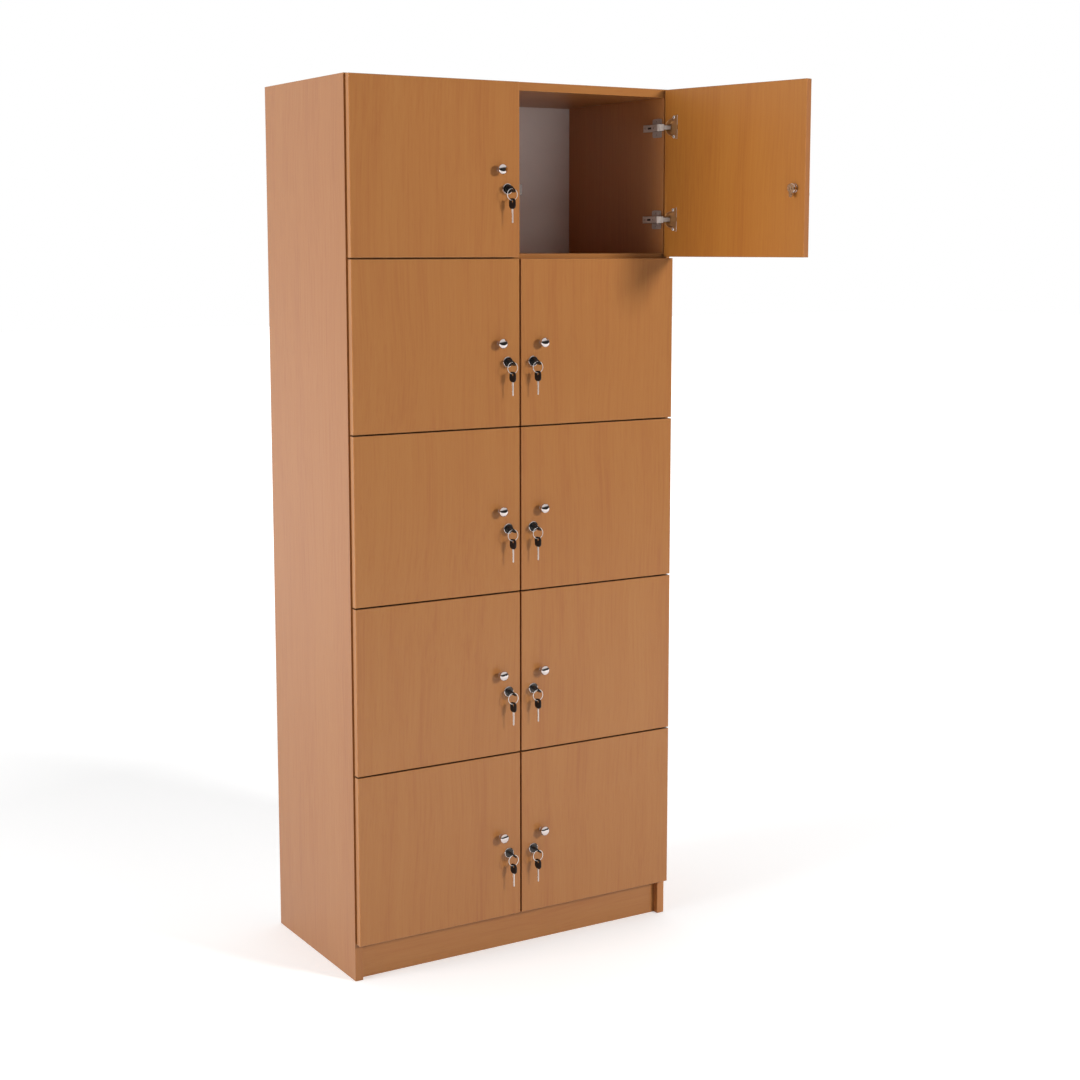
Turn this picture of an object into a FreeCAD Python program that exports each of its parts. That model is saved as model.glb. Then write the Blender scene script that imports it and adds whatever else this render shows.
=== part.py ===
import FreeCAD, Part
import math
import os

from FreeCAD import Vector

os.makedirs("parts", exist_ok=True)

# Compartment cabinet: two columns of five lockable compartments behind hinged doors.
# Origin: centre of the footprint on the floor. +X to the right, +Y to the back, +Z up.
# Rest pose: the upper right door stands open, every other door is closed, every lock is unlocked.

# Carcass
cabinet_width = 800.0
cabinet_depth = 400.0
cabinet_height = 1900.0
board_thickness = 18.0
rows = 5
plinth_height = 82.0
plinth_setback = 14.0
back_thickness = 4.0
back_rebate_width = 8.0
housing_depth = 5.0
housing_stop = 14.0

# Doors
door_thickness = 16.0
door_back_gap = 2.0
door_outer_reveal = 3.0
door_middle_gap = 4.0
door_row_gap = 3.0
door_top_reveal = 1.5
door_eased_edge = 1.0
door_hinge_edge_bevel = 1.5
open_door_angle = 102.5

# Concealed hinges
hinge_end_distance = 82.0
cup_radius = 17.5
cup_depth = 13.0
cup_wall = 0.8
cup_edge_distance = 3.0
cup_facets = 12
flange_height = 52.0
flange_reach = 17.8
flange_thickness = 1.2
flange_overhang = 12.5
flange_ear_width = 12.0
flange_ear_taper = 2.5
flange_neck_height = 17.0
pin_radius = 1.2
pin_length = 17.0
pin_facets = 6
running_clearance = 0.05
eye_wall = 0.8
eye_height = 9.0
cheek_clearance = 0.5
cup_floor_clearance = 0.5
cup_side_clearance = 0.33
link_thickness = 1.5
link_crank_reach = 10.0
arm_thickness = 6.0
arm_leg_thickness = 2.0
arm_height = 16.0
arm_reach_back = 60.0
arm_front_gap = 1.0
arm_tail_bevel = 3.0
plate_thickness = 2.5
plate_wing_height = 41.0
plate_wing_depth = 35.0
plate_setback = 6.0
plate_rib_thickness = 6.0
plate_rib_height = 12.0
plate_rib_depth = 46.0
plate_rib_setback = 8.0
plate_corner_cut = 3.0

# Knobs
knob_backset = 50.0
knob_radius = 11.0
knob_height = 22.5
knob_facets = 16

# Cylinder locks
lock_backset = 29.4
lock_below_knob = 40.0
collar_radius = 11.6
collar_thickness = 2.2
collar_facets = 18
barrel_radius = 10.0
barrel_behind_door = 9.0
barrel_facets = 12
plug_radius = 6.0
plug_proud = 0.6
plug_facets = 10
cam_width = 9.0
cam_thickness = 2.0
cam_gap = 0.3
cam_tip_gap = 4.0
cam_up_turn = 0.0
cam_down_turn = 180.0
cam_screw_radius = 3.2
cam_screw_head = 1.8
cam_screw_facets = 6

# Catch plates on the partition
catch_thickness = 1.5
catch_leg = 9.0
catch_foot = 20.0
catch_height = 22.0
catch_gap = 0.7

# Keys and key rings
key_rest_angle = -45.0
key_shank_length = 2.5
key_blade_width = 7.0
key_blade_thickness = 2.0
key_blade_length = 30.0
key_head_width = 20.0
key_head_length = 21.5
key_head_thickness = 2.8
key_hole_radius = 4.4
key_hole_from_end = 6.0
key_hole_facets = 6
ring_radius = 12.2
ring_wire = 1.0
ring_drop = 0.3
ring_facets = 12
ring_seat_gap = 0.3

# One overrun serves every cut
overrun = 1.0

# Shares of the knob's radius and height, from its foot up the neck and over the mushroom head
knob_profile_shares = [(0.51, 0.0), (0.38, 0.16), (0.38, 0.4), (1.0, 0.67), (1.0, 0.76), (0.72, 0.92), (0.2, 1.0)]
# Shares of the key head's width and length, going round its outline from the neck
key_head_outline_shares = [(0.2, 0.0), (0.5, 0.25), (0.5, 0.6), (0.34, 1.0)]
# Shares of the blade's width and length, from the neck to the tip and back along the cut edge
key_blade_outline_shares = [(-0.5, 0.0), (-0.5, 1.0), (0.1, 1.0), (0.5, 0.86), (0.2, 0.62), (0.5, 0.46),
                            (0.15, 0.3), (0.5, 0.16), (0.5, 0.0)]

# Places that follow from the sizes above
half_width = cabinet_width / 2
front_y = -cabinet_depth / 2
rear_y = cabinet_depth / 2
side_inner_x = half_width - board_thickness
partition_face_x = board_thickness / 2
back_face_y = rear_y - back_thickness
bottom_panel_top = plinth_height + board_thickness
top_panel_bottom = cabinet_height - board_thickness
row_pitch = (top_panel_bottom - bottom_panel_top + board_thickness) / rows
shelf_levels = [top_panel_bottom - row_pitch * row for row in range(1, rows)]
door_back_y = front_y - door_back_gap
door_front_y = door_back_y - door_thickness
door_free_x = door_middle_gap / 2
door_hinge_x = half_width - door_outer_reveal
knob_x = door_free_x + knob_backset
lock_x = door_free_x + lock_backset


def box(x0, x1, y0, y1, z0, z1):
    return Part.makeBox(x1 - x0, y1 - y0, z1 - z0, Vector(x0, y0, z0))


def slab(outline, start, sweep):
    """A flat outline, moved to its start and swept into a solid."""
    points = [start + point for point in outline]
    face = Part.Face(Part.makePolygon(points + [points[0]]))
    return face.extrude(sweep)


def facets(radius, count, first, second):
    """The corners of a regular outline in the plane of two directions, with a flat on each."""
    turns = [2 * math.pi * (step + 0.5) / count for step in range(count)]
    return [first * (radius * math.cos(turn)) + second * (radius * math.sin(turn)) for turn in turns]


def circumscribed(radius, count):
    """The corner radius of a regular outline whose flats lie at the given radius."""
    return radius / math.cos(math.pi / count)


def mirrored(shape):
    return shape.mirror(Vector(0, 0, 0), Vector(1, 0, 0))


def export(node, solids):
    shape = solids[0] if len(solids) == 1 else Part.makeCompound(solids)
    shape.exportStep("parts/" + node + ".step")


# Carcass boards: the shelves are let into stopped grooves in the sides and the partition
def shelf_grooves(face_x, inward, z_levels):
    """The stopped grooves in an upright board whose face is at face_x, cut inward along X."""
    low = min(face_x, face_x + inward * housing_depth)
    high = max(face_x, face_x + inward * housing_depth)
    return [box(low, high, front_y + housing_stop, rear_y + overrun, z, z + board_thickness) for z in z_levels]


def make_side():
    side = box(side_inner_x, half_width, front_y, rear_y, 0, cabinet_height)
    rebate = box(side_inner_x - overrun, side_inner_x + back_rebate_width, back_face_y, rear_y + overrun,
                 plinth_height + board_thickness - back_rebate_width, top_panel_bottom + back_rebate_width)
    return side.cut([rebate] + shelf_grooves(side_inner_x, 1, shelf_levels))


def make_partition():
    post = box(-partition_face_x, partition_face_x, front_y, back_face_y, bottom_panel_top, top_panel_bottom)
    right = shelf_grooves(partition_face_x, -1, shelf_levels)
    left = shelf_grooves(-partition_face_x, 1, shelf_levels)
    return post.cut(right + left)


def make_end_panel(z0, rebate_z0, rebate_z1):
    panel = box(-side_inner_x, side_inner_x, front_y, rear_y, z0, z0 + board_thickness)
    rebate = box(-side_inner_x - overrun, side_inner_x + overrun, back_face_y, rear_y + overrun,
                 rebate_z0, rebate_z1)
    return panel.cut(rebate)


def make_shelf(z0):
    """A right-hand shelf, with its tongues behind the stops of the grooves."""
    span = box(partition_face_x, side_inner_x, front_y, back_face_y, z0, z0 + board_thickness)
    tongues = box(partition_face_x - housing_depth, side_inner_x + housing_depth, front_y + housing_stop,
                  back_face_y, z0, z0 + board_thickness)
    return span.fuse(tongues).removeSplitter()


side = make_side()
export("side_right", [side])
export("side_left", [mirrored(side)])
export("partition", [make_partition()])
export("top_panel", [make_end_panel(top_panel_bottom, top_panel_bottom - overrun,
                                    top_panel_bottom + back_rebate_width)])
export("bottom_panel", [make_end_panel(plinth_height, bottom_panel_top - back_rebate_width,
                                       bottom_panel_top + overrun)])
for number, level in enumerate(shelf_levels, start=1):
    shelf = make_shelf(level)
    export("shelf_right_" + str(number), [shelf])
    export("shelf_left_" + str(number), [mirrored(shelf)])

back_half_width = side_inner_x + back_rebate_width
export("back_panel", [box(-back_half_width, back_half_width, back_face_y, rear_y,
                          bottom_panel_top - back_rebate_width, top_panel_bottom + back_rebate_width)])

# Plinth: a front board behind the doors, a rear board, and a rail that carries the partition
plinth_front_y = front_y + plinth_setback
rail_front_y = plinth_front_y + board_thickness
rail_rear_y = back_face_y - board_thickness
export("plinth_front", [box(-side_inner_x, side_inner_x, plinth_front_y, rail_front_y, 0, plinth_height)])
export("plinth_rear", [box(-side_inner_x, side_inner_x, rail_rear_y, back_face_y, 0, plinth_height)])
export("plinth_centre_rail", [box(-partition_face_x, partition_face_x, rail_front_y, rail_rear_y,
                                  0, plinth_height)])

# Concealed hinge: the cup's pin turns in the eye of an arm that is clipped to a plate on the side
cup_centre_x = door_hinge_x - cup_edge_distance - cup_radius
eye_radius = pin_radius + running_clearance + eye_wall
pocket_half_height = eye_height / 2 + cheek_clearance
pocket_edge_x = cup_centre_x + math.sqrt((cup_radius - cup_wall) ** 2 - pocket_half_height ** 2)
pivot_x = pocket_edge_x - cup_side_clearance - eye_radius
pocket_floor_y = door_back_y - cup_depth + cup_wall
pivot_y = pocket_floor_y + cup_floor_clearance + eye_radius
rib_face_x = side_inner_x - plate_thickness - plate_rib_thickness
arm_back_y = front_y + arm_reach_back
arm_front_y = front_y + arm_front_gap
pocket_far_x = pivot_x - math.hypot(pivot_x - rib_face_x + arm_leg_thickness, eye_radius) - cheek_clearance
along_x = Vector(1, 0, 0)
along_y = Vector(0, 1, 0)
along_z = Vector(0, 0, 1)


def make_cup(z):
    """The die-cast cup with its flange, hollowed where the arm folds into it, and the pin riveted in its cheeks."""
    rim = Vector(cup_centre_x, door_back_y, z)
    outline = facets(cup_radius, cup_facets, along_x, along_z)
    body = slab(outline, rim, along_y * -cup_depth)
    near = cup_centre_x + flange_overhang
    far = cup_centre_x - flange_reach
    shoulder = far + flange_ear_width
    half = flange_height / 2
    half_shoulder = half - flange_ear_taper
    half_neck = flange_neck_height / 2
    ears = [Vector(far, 0, half), Vector(far, 0, -half), Vector(shoulder, 0, -half_shoulder),
            Vector(near, 0, -half_neck), Vector(near, 0, half_neck), Vector(shoulder, 0, half_shoulder)]
    flange = slab(ears, Vector(0, door_back_y, z), along_y * flange_thickness)
    pocket = box(pocket_far_x, pocket_edge_x, pocket_floor_y, door_back_y + flange_thickness + overrun,
                 z - pocket_half_height, z + pocket_half_height)
    return body.fuse(flange).cut(pocket).fuse(make_pin(z)).removeSplitter()


def make_cup_recess(z):
    """The bore in the door that the cup fills."""
    outline = facets(cup_radius, cup_facets, along_x, along_z)
    return slab(outline, Vector(cup_centre_x, door_back_y + overrun, z), along_y * -(cup_depth + overrun))


def make_pin(z):
    outline = facets(pin_radius, pin_facets, along_x, along_y)
    return slab(outline, Vector(pivot_x, pivot_y, z - pin_length / 2), along_z * pin_length)


def make_arm(z):
    """The cranked link with its eye round the pin, and the channel that runs back over the plate's rib."""
    low = -eye_radius
    leg_in = rib_face_x - pivot_x
    leg_out = leg_in - arm_leg_thickness
    eye = circumscribed(eye_radius, pin_facets)
    half_flat = eye * math.sin(math.pi / pin_facets)
    leg_top = arm_front_y + overrun - pivot_y
    link = [Vector(half_flat, low, 0), Vector(eye_radius, -half_flat, 0), Vector(eye_radius, half_flat, 0),
            Vector(half_flat, eye_radius, 0), Vector(-half_flat, eye_radius, 0),
            Vector(-link_crank_reach, low + link_thickness, 0), Vector(leg_in, low + link_thickness, 0),
            Vector(leg_in, leg_top, 0), Vector(leg_out, leg_top, 0), Vector(leg_out, low, 0)]
    crank = slab(link, Vector(pivot_x, pivot_y, z - eye_height / 2), along_z * eye_height)
    bore = facets(circumscribed(pin_radius + running_clearance, pin_facets), pin_facets, along_x, along_y)
    hole = slab(bore, Vector(pivot_x, pivot_y, z - eye_height), along_z * (eye_height * 2))
    outer = rib_face_x - arm_thickness
    channel = [Vector(rib_face_x, arm_front_y, 0), Vector(rib_face_x, arm_back_y, 0),
               Vector(outer + arm_tail_bevel, arm_back_y, 0), Vector(outer, arm_back_y - arm_tail_bevel, 0),
               Vector(outer, arm_front_y + arm_tail_bevel, 0), Vector(outer + arm_tail_bevel, arm_front_y, 0)]
    body = slab(channel, Vector(0, 0, z - arm_height / 2), along_z * arm_height)
    return crank.fuse(body).cut(hole).removeSplitter()


def make_plate(z):
    """The winged mounting plate on the side's inner face, with the rib that the arm sits on."""
    wing_front = front_y + plate_setback
    wing_back = wing_front + plate_wing_depth
    half = plate_wing_height / 2
    cut = plate_corner_cut
    outline = [Vector(0, wing_front + cut, -half), Vector(0, wing_back - cut, -half),
               Vector(0, wing_back, cut - half), Vector(0, wing_back, half - cut),
               Vector(0, wing_back - cut, half), Vector(0, wing_front + cut, half),
               Vector(0, wing_front, half - cut), Vector(0, wing_front, cut - half)]
    wings = slab(outline, Vector(side_inner_x - plate_thickness, 0, z), along_x * plate_thickness)
    rib_front = front_y + plate_rib_setback
    rib = box(rib_face_x, side_inner_x, rib_front, rib_front + plate_rib_depth,
              z - plate_rib_height / 2, z + plate_rib_height / 2)
    return wings.fuse(rib).removeSplitter()


# Knob: a mushroom on a slim neck, facetted from one ring of its profile to the next
def make_knob(z):
    rings = []
    for radius_share, height_share in knob_profile_shares:
        centre = Vector(knob_x, door_front_y - knob_height * height_share, z)
        rings.append([centre + corner for corner in
                      facets(knob_radius * radius_share, knob_facets, along_x, along_z)])
    outlines = [rings[0], rings[-1]]
    for ring, next_ring in zip(rings, rings[1:]):
        for step in range(knob_facets):
            outlines.append([ring[step - 1], ring[step], next_ring[step], next_ring[step - 1]])
    faces = [Part.Face(Part.makePolygon(outline + [outline[0]])) for outline in outlines]
    return Part.Solid(Part.Shell(faces))


# Cylinder lock: a collared barrel through the door, a plug that turns in it, and a cam behind
barrel_end_y = door_back_y + barrel_behind_door
cam_front_y = barrel_end_y + cam_gap
plug_front_y = door_front_y - collar_thickness - plug_proud
key_head_front_y = plug_front_y - key_shank_length
key_hole_y = key_head_front_y - key_head_length + key_hole_from_end
cam_reach = lock_x - partition_face_x - cam_tip_gap
collar_front_y = door_front_y - collar_thickness


def make_barrel(z):
    collar = slab(facets(collar_radius, collar_facets, along_x, along_z), Vector(lock_x, collar_front_y, z),
                  along_y * collar_thickness)
    outline = facets(barrel_radius, barrel_facets, along_x, along_z)
    barrel = slab(outline, Vector(lock_x, door_front_y, z), along_y * (barrel_end_y - door_front_y))
    bore_radius = circumscribed(plug_radius + running_clearance, plug_facets)
    bore = slab(facets(bore_radius, plug_facets, along_x, along_z), Vector(lock_x, collar_front_y - overrun, z),
                along_y * (barrel_end_y - collar_front_y + 2 * overrun))
    return collar.fuse(barrel).cut(bore).removeSplitter()


def make_barrel_hole(z):
    outline = facets(barrel_radius, barrel_facets, along_x, along_z)
    return slab(outline, Vector(lock_x, door_front_y - overrun, z), along_y * (door_thickness + 2 * overrun))


def key_head(origin, across, outwards, normal):
    """The flat plastic head of a key, its neck at the origin and a round hole near its far end."""
    right = [across * (key_head_width * u) + outwards * (key_head_length * v) for u, v in key_head_outline_shares]
    left = [across * (-key_head_width * u) + outwards * (key_head_length * v)
            for u, v in reversed(key_head_outline_shares)]
    half = normal * (key_head_thickness / 2)
    head = slab(right + left, origin - half, normal * key_head_thickness)
    eye = origin + outwards * (key_head_length - key_hole_from_end)
    hole = slab(facets(key_hole_radius, key_hole_facets, across, outwards), eye - normal * key_head_thickness,
                normal * (key_head_thickness * 2))
    return head.cut(hole)


def make_key(z, cam_turn):
    """The parts that turn with the key: plug, shank, head, cam and cam screw."""
    axis = Vector(lock_x, 0, z)
    plug = slab(facets(plug_radius, plug_facets, along_x, along_z), Vector(lock_x, plug_front_y, z),
                along_y * (cam_front_y - plug_front_y))
    half_blade = key_blade_width / 2
    half_thick = key_blade_thickness / 2
    shank = box(lock_x - half_thick, lock_x + half_thick, key_head_front_y, plug_front_y,
                z - half_blade, z + half_blade)
    head = key_head(Vector(lock_x, key_head_front_y, z), along_z, along_y * -1, along_x)
    for piece in (shank, head):
        piece.rotate(axis, along_y, key_rest_angle)
    half_cam = cam_width / 2
    tip = half_cam / 2
    outline = [Vector(-half_cam, 0, -tip), Vector(-tip, 0, -half_cam), Vector(tip, 0, -half_cam),
               Vector(half_cam, 0, -tip), Vector(half_cam, 0, cam_reach - tip), Vector(tip, 0, cam_reach),
               Vector(-tip, 0, cam_reach), Vector(-half_cam, 0, cam_reach - tip)]
    cam = slab(outline, Vector(lock_x, cam_front_y, z), along_y * cam_thickness)
    cam.rotate(axis, along_y, cam_turn)
    screw = slab(facets(cam_screw_radius, cam_screw_facets, along_x, along_z),
                 Vector(lock_x, cam_front_y + cam_thickness, z), along_y * cam_screw_head)
    return [plug, shank, head, cam, screw]


def make_key_ring(z):
    """The split ring that hangs in the key's head, and the spare key that hangs on the ring."""
    centre = Vector(lock_x, key_hole_y - ring_wire / 2, z - ring_radius + ring_drop)
    outer = slab(facets(ring_radius + ring_wire / 2, ring_facets, along_x, along_z), centre, along_y * ring_wire)
    inner = slab(facets(ring_radius - ring_wire / 2, ring_facets, along_x, along_z),
                 centre - along_y * ring_wire, along_y * (ring_wire * 3))
    ring = outer.cut(inner)
    ring_bottom = (ring_radius - ring_wire / 2) * math.cos(math.pi / ring_facets)
    hole_top = key_hole_radius * math.cos(math.pi / key_hole_facets)
    hole_z = centre.z - ring_bottom + ring_seat_gap - hole_top
    neck = Vector(lock_x, key_hole_y, hole_z - key_head_length + key_hole_from_end)
    head = key_head(neck, along_y, along_z, along_x)
    blade_outline = [along_y * (key_blade_width * u) - along_z * (key_blade_length * v)
                     for u, v in key_blade_outline_shares]
    half_blade = along_x * (key_blade_thickness / 2)
    blade = slab(blade_outline, neck - half_blade, half_blade * 2)
    return [ring, head, blade]


def make_catch(z):
    """The angle plate on the partition that the cam turns behind."""
    leg_back = cam_front_y - catch_gap
    leg_front = leg_back - catch_thickness
    face = partition_face_x
    outline = [Vector(face, leg_front, 0), Vector(face + catch_leg, leg_front, 0),
               Vector(face + catch_leg, leg_back, 0), Vector(face + catch_thickness, leg_back, 0),
               Vector(face + catch_thickness, leg_front + catch_foot, 0), Vector(face, leg_front + catch_foot, 0)]
    return slab(outline, Vector(0, 0, z - catch_height / 2), along_z * catch_height)


def back_edges(door, low_x, high_x):
    """The edges of a door's back face that lie between two places along X."""
    middle_y = (door_front_y + door_back_y) / 2
    return [edge for edge in door.Edges if edge.BoundBox.YMin > middle_y
            and edge.BoundBox.XMin > low_x and edge.BoundBox.XMax < high_x]


def make_door(z0, z1, hinge_levels, lock_z):
    door = box(door_free_x, door_hinge_x, door_front_y, door_back_y, z0, z1)
    middle_x = (door_free_x + door_hinge_x) / 2
    front_edges = [edge for edge in door.Edges if edge.BoundBox.YMax < (door_front_y + door_back_y) / 2]
    door = door.makeChamfer(door_eased_edge, front_edges + back_edges(door, -overrun, middle_x))
    door = door.makeChamfer(door_hinge_edge_bevel, back_edges(door, middle_x, door_hinge_x + overrun))
    recesses = [make_cup_recess(z) for z in hinge_levels]
    return door.cut(recesses + [make_barrel_hole(lock_z)])


# Doors with their hinges, knobs, locks and keys, row 1 at the top
hinge_arms = []
hinge_plates = []
catches = []
to_left = Vector(-2 * lock_x, 0, 0)
for row in range(1, rows + 1):
    door_top = cabinet_height - door_top_reveal
    door_bottom = plinth_height
    if row > 1:
        door_top = shelf_levels[row - 2] + board_thickness / 2 - door_row_gap / 2
    if row < rows:
        door_bottom = shelf_levels[row - 1] + board_thickness / 2 + door_row_gap / 2
    knob_z = (door_bottom + door_top) / 2
    lock_z = knob_z - lock_below_knob
    hinge_levels = [door_top - hinge_end_distance, door_bottom + hinge_end_distance]
    panel = make_door(door_bottom, door_top, hinge_levels, lock_z)
    fittings = [make_knob(knob_z), make_barrel(lock_z)]
    for z in hinge_levels:
        fittings += [make_cup(z)]
        hinge_arms += [make_arm(z), mirrored(make_arm(z))]
        hinge_plates += [make_plate(z), mirrored(make_plate(z))]
    catches += [make_catch(lock_z), mirrored(make_catch(lock_z))]
    ring = make_key_ring(lock_z)
    left_door = {"door_left_": [mirrored(panel)],
                 "door_fittings_left_": [mirrored(piece) for piece in fittings],
                 "lock_key_left_": [piece.translated(to_left) for piece in make_key(lock_z, cam_up_turn)],
                 "key_ring_left_": [piece.translated(to_left) for piece in ring]}
    right_door = {"door_right_": [panel], "door_fittings_right_": fittings,
                  "lock_key_right_": make_key(lock_z, cam_down_turn), "key_ring_right_": ring}
    if row == 1:
        for pieces in right_door.values():
            for piece in pieces:
                piece.rotate(Vector(pivot_x, pivot_y, 0), along_z, open_door_angle)
    for name, pieces in list(left_door.items()) + list(right_door.items()):
        export(name + str(row), pieces)
export("hinge_arms", hinge_arms)
export("hinge_plates", hinge_plates)
export("lock_catches", catches)
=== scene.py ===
import math

import bmesh
import bpy
from mathutils import Matrix, Vector


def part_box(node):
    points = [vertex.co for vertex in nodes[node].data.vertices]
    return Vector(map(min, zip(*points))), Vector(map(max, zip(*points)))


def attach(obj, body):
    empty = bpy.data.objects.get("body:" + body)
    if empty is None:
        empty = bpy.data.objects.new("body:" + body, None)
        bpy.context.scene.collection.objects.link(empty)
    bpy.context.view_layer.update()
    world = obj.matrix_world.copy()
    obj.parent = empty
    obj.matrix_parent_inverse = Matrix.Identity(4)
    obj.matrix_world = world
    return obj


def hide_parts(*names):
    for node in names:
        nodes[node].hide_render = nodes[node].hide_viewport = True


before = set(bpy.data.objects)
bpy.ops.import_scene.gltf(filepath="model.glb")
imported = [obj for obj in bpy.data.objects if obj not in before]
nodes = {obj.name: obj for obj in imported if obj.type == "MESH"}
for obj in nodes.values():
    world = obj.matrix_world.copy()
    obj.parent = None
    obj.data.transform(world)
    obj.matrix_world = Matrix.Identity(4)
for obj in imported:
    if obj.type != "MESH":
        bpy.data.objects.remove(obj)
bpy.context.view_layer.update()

# Camera: it stands in front of the cabinet and to its left, at the height of a person's chest, and looks
# slightly down, so that the left side, the ten doors and the open compartment all show.
camera_place = Vector((-2.0002, -3.5963, 1.5552))
camera_yaw = math.radians(31.24)
camera_pitch = math.radians(7.62)
camera_lens = 61.02
camera_film = 36.0
camera_shift = -0.045
camera_data = bpy.data.cameras.new("camera")
camera_data.lens = camera_lens
camera_data.sensor_width = camera_film
camera_data.shift_y = camera_shift
camera = bpy.data.objects.new("camera", camera_data)
camera.location = camera_place
camera.rotation_euler = (math.pi / 2 - camera_pitch, 0, -camera_yaw)
bpy.context.collection.objects.link(camera)
bpy.context.scene.camera = camera
bpy.context.scene.view_settings.view_transform = "Standard"

# Lamps: one wide soft lamp high on the right in front, as the shadow under the open door asks for, a wider and
# weaker one on the left, and a faint one that reaches into the open compartment. Metal mirrors none of them.
lamp_aim = Vector((0.1, -0.2, 1.05))


def soft_lamp(name, towards, distance, power, size):
    """A round area lamp that stands in one direction from the aim and shines back at it."""
    direction = Vector(towards).normalized()
    lamp_data = bpy.data.lights.new(name, "AREA")
    lamp_data.shape = "DISK"
    lamp_data.size = size
    lamp_data.energy = power
    lamp = bpy.data.objects.new(name, lamp_data)
    lamp.location = lamp_aim + direction * distance
    lamp.rotation_mode = "QUATERNION"
    lamp.rotation_quaternion = (-direction).to_track_quat("-Z", "Y")
    lamp.visible_glossy = False
    bpy.context.collection.objects.link(lamp)


soft_lamp("key_lamp", (0.54, -1.0, 0.354), distance=6.0, power=262.0, size=1.1)
soft_lamp("fill_lamp", (-1.0, 0.01, 0.1), distance=4.5, power=146.0, size=2.4)
soft_lamp("opening_lamp", (0.15, -1.0, 0.1), distance=6.0, power=33.0, size=2.0)

# Room: the camera sees it plain white. For light it is paler behind the cabinet than behind the camera, and in
# polished metal it is white behind the cabinet and overhead and dark behind the camera, which gives contrast.
room_front_light = 0.1
room_back_light = 0.8
room_front_end = 0.25
room_back_start = 0.65
gloss_front = 0.05
gloss_back = 1.0
gloss_front_end = -0.15
gloss_back_start = 0.35
gloss_ceiling = 0.9
gloss_wall_end = 0.25
gloss_ceiling_start = 0.5
white = (1, 1, 1, 1)


def feed(node, inputs):
    """Gives inputs of a node a link, where the value is a socket, or else a value of their own."""
    for name, value in inputs.items():
        if isinstance(value, bpy.types.NodeSocket):
            node.id_data.links.new(value, node.inputs[name])
        else:
            node.inputs[name].default_value = value


def new_node(tree, kind, inputs=None, **settings):
    """A shader node with its settings made and its inputs fed."""
    node = tree.nodes.new("ShaderNode" + kind)
    for name, value in settings.items():
        setattr(node, name, value)
    feed(node, inputs or {})
    return node


def ramp(tree, source, stops):
    """A colour ramp over a source. The stops name its two ends first and then what lies between them."""
    node = new_node(tree, "ValToRGB", {0: source})
    line = node.color_ramp.elements
    for index, (position, colour) in enumerate(stops):
        stop = line[index] if index < 2 else line.new(position)
        stop.position = position
        stop.color = colour
    return node.outputs[0]


world = bpy.data.worlds.new("room")
bpy.context.scene.world = world
world.use_nodes = True
room = world.node_tree
room.nodes.clear()
room_path = new_node(room, "LightPath").outputs
room_way = new_node(room, "SeparateXYZ", {0: new_node(room, "TexCoord").outputs["Generated"]}).outputs
room_depth = new_node(room, "MapRange", {"Value": room_way["Y"], "From Min": -1.0, "From Max": 1.0})
room_shade = ramp(room, room_depth.outputs[0], [(room_front_end, (room_front_light,) * 3 + (1,)),
                                                (room_back_start, (room_back_light,) * 3 + (1,))])
gloss_depth = new_node(room, "MapRange", {"Value": room_way["Y"], "From Min": gloss_front_end,
                                          "From Max": gloss_back_start, "To Min": gloss_front,
                                          "To Max": gloss_back})
gloss_height = new_node(room, "MapRange", {"Value": room_way["Z"], "From Min": gloss_wall_end,
                                           "From Max": gloss_ceiling_start, "To Max": gloss_ceiling})
gloss_shade = new_node(room, "Math", {0: gloss_depth.outputs[0], 1: gloss_height.outputs[0]}, use_clamp=True)
room_colour = new_node(room, "Mix", {0: room_path["Is Glossy Ray"], 6: room_shade, 7: gloss_shade.outputs[0]},
                       data_type="RGBA")
room_light = new_node(room, "Background", {"Color": room_colour.outputs[2]})
room_seen = new_node(room, "Background", {"Color": white})
room_mix = new_node(room, "MixShader", {0: room_path["Is Camera Ray"], 1: room_light.outputs[0],
                                        2: room_seen.outputs[0]})
new_node(room, "OutputWorld", {0: room_mix.outputs[0]})

# Floor: a plain white studio floor. It keeps the cabinet's soft shadow, and away from it it is as white as the
# room behind. In polished metal it turns dark behind the camera, as the room does.
floor_half = 30.0
floor_colour = (0.8, 0.8, 0.8, 1)
floor_glow = 0.36
floor_glow_far = 1.0
floor_near = 1.6
floor_far = 5.0
dark_floor_from = -2.2
dark_floor_to = -4.5
dark_floor_colour = (0.02, 0.02, 0.02, 1)
floor_mesh = bmesh.new()
bmesh.ops.create_grid(floor_mesh, x_segments=1, y_segments=1, size=floor_half)
floor_data = bpy.data.meshes.new("floor")
floor_mesh.to_mesh(floor_data)
floor_mesh.free()
floor = bpy.data.objects.new("floor", floor_data)
bpy.context.collection.objects.link(floor)
floor_paint = bpy.data.materials.new("floor_paint")
floor_paint.use_nodes = True
paint = floor_paint.node_tree
paint.nodes.clear()
paint_path = new_node(paint, "LightPath").outputs
paint_place = new_node(paint, "TexCoord").outputs["Object"]
paint_mirrored = new_node(paint, "Math", {0: paint_path["Is Glossy Ray"], 1: paint_path["Is Transmission Ray"]},
                          operation="MAXIMUM").outputs[0]
paint_seen = new_node(paint, "Math", {0: paint_path["Is Camera Ray"], 1: paint_mirrored}, operation="MAXIMUM")
paint_reach = new_node(paint, "VectorMath", {0: paint_place}, operation="LENGTH")
paint_fade = new_node(paint, "MapRange", {"Value": paint_reach.outputs["Value"], "From Min": floor_near,
                                          "From Max": floor_far, "To Min": floor_glow,
                                          "To Max": floor_glow_far})
paint_strength = new_node(paint, "Math", {0: paint_seen.outputs[0], 1: paint_fade.outputs[0]},
                          operation="MULTIPLY")
paint_diffuse = new_node(paint, "BsdfDiffuse", {"Color": floor_colour})
paint_glow = new_node(paint, "Emission", {"Color": white, "Strength": paint_strength.outputs[0]})
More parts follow.
